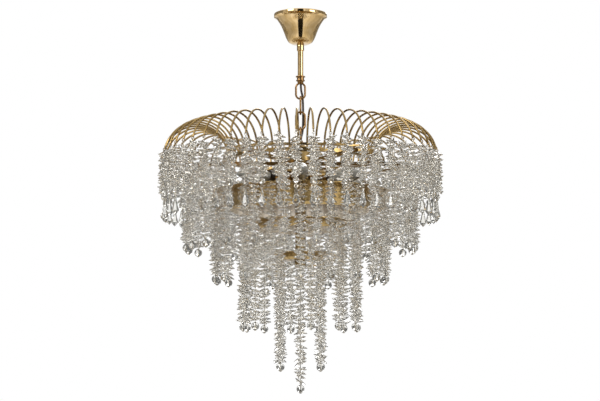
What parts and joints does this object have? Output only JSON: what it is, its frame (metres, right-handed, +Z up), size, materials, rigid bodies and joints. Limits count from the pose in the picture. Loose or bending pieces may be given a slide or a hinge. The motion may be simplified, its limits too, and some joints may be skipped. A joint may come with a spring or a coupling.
{
  "type": "cascade chandelier",
  "caption": "Tiered crystal chandelier: bent gilt wires on a ring carry strands of glass flakes that step inwards and down to a point, hung on a short chain from a bell canopy.",
  "frame": {"origin": "on the ceiling plane, in the middle of the canopy and its strap", "axes": "+Z up along the rod and chain, X along the ceiling strap, the pictured front towards -Y"},
  "size_m": [0.5926, 0.5926, 0.7876],
  "materials": {
    "gilt_metal": "polished gold plating",
    "zinc_plated_steel": "zinc plated",
    "nickel_plated_brass": "nickel plated",
    "bulb_glass": "clear blown glass",
    "crystal_glass": "pressed and fire polished",
    "white_plastic": "moulded",
    "dark_plastic": "moulded thermoset",
    "lead_sheath": "smooth flexible sheath"
  },
  "bodies": {
    "ceiling_fixing": {"ceiling_strap": "zinc_plated_steel", "rod_nipple": "zinc_plated_steel", "bracket_nuts": "zinc_plated_steel", "terminal_block": "white_plastic", "terminal_screws": "zinc_plated_steel", "rod": "gilt_metal", "rod_finial": "gilt_metal", "supply_lead": "lead_sheath"},
    "canopy": {"canopy": "gilt_metal", "canopy_collar": "gilt_metal", "collar_screw": "zinc_plated_steel"},
    "upper_link": {"upper_link": "gilt_metal"},
    "lower_link": {"lower_link": "gilt_metal"},
    "light": {"body_loop": "gilt_metal", "hub_cover": "gilt_metal", "stem": "gilt_metal", "stem_spacers": "gilt_metal", "stem_nut": "gilt_metal", "hub": "gilt_metal", "spokes": "gilt_metal", "arch_ring": "gilt_metal", "arches": "gilt_metal", "second_ring": "gilt_metal", "third_plate": "gilt_metal", "third_pan": "gilt_metal", "fourth_plate": "gilt_metal", "fourth_pan": "gilt_metal", "fifth_plate": "gilt_metal", "fifth_pan": "gilt_metal", "lamp_block": "gilt_metal", "lamp_cups": "gilt_metal", "outer_strands": "crystal_glass", "outer_beads": "crystal_glass", "outer_drops": "crystal_glass", "second_strands": "crystal_glass", "second_balls": "crystal_glass", "third_strands": "crystal_glass", "third_balls": "crystal_glass", "fourth_strands": "crystal_glass", "fourth_balls": "crystal_glass", "fifth_strands": "crystal_glass", "fifth_balls": "crystal_glass", "centre_strand": "crystal_glass", "centre_ball": "crystal_glass", "junction_box": "white_plastic", "lamp_sockets": "dark_plastic"},
    "bulb_1": {"bulb_cap_1": "nickel_plated_brass", "bulb_glass_1": "bulb_glass"},
    "bulb_2": {"bulb_cap_2": "nickel_plated_brass", "bulb_glass_2": "bulb_glass"},
    "bulb_3": {"bulb_cap_3": "nickel_plated_brass", "bulb_glass_3": "bulb_glass"},
    "bulb_4": {"bulb_cap_4": "nickel_plated_brass", "bulb_glass_4": "bulb_glass"},
    "bulb_5": {"bulb_cap_5": "nickel_plated_brass", "bulb_glass_5": "bulb_glass"},
    "bulb_6": {"bulb_cap_6": "nickel_plated_brass", "bulb_glass_6": "bulb_glass"}
  },
  "joints": [
    {"name": "canopy_slide", "type": "slide", "parent": "ceiling_fixing", "child": "canopy", "axis": [0, 0, 1], "range_m": [-0.05, 0]},
    {"name": "upper_link_swing", "type": "hinge", "parent": "ceiling_fixing", "child": "upper_link", "pos_m": [0, 0, -0.1793], "axis": [1, 0, 0], "range_deg": [-25, 25], "deforming": ["supply_lead"]},
    {"name": "lower_link_swing", "type": "hinge", "parent": "upper_link", "child": "lower_link", "pos_m": [0, 0, -0.2116], "axis": [0, 1, 0], "range_deg": [-25, 25], "deforming": ["supply_lead"]},
    {"name": "light_swing", "type": "hinge", "parent": "lower_link", "child": "light", "pos_m": [0, 0, -0.2439], "axis": [1, 0, 0], "range_deg": [-25, 25], "deforming": ["supply_lead"]},
    {"name": "bulb_1_draw", "type": "slide", "parent": "light", "child": "bulb_1", "axis": [0.866, 0.5, 0], "range_m": [0, 0.03]},
    {"name": "bulb_2_draw", "type": "slide", "parent": "light", "child": "bulb_2", "axis": [0, 1, 0], "range_m": [0, 0.03]},
    {"name": "bulb_3_draw", "type": "slide", "parent": "light", "child": "bulb_3", "axis": [-0.866, 0.5, 0], "range_m": [0, 0.03]},
    {"name": "bulb_4_draw", "type": "slide", "parent": "light", "child": "bulb_4", "axis": [-0.866, -0.5, 0], "range_m": [0, 0.03]},
    {"name": "bulb_5_draw", "type": "slide", "parent": "light", "child": "bulb_5", "axis": [0, -1, 0], "range_m": [0, 0.03]},
    {"name": "bulb_6_draw", "type": "slide", "parent": "light", "child": "bulb_6", "axis": [0.866, -0.5, 0], "range_m": [0, 0.03]}
  ]
}
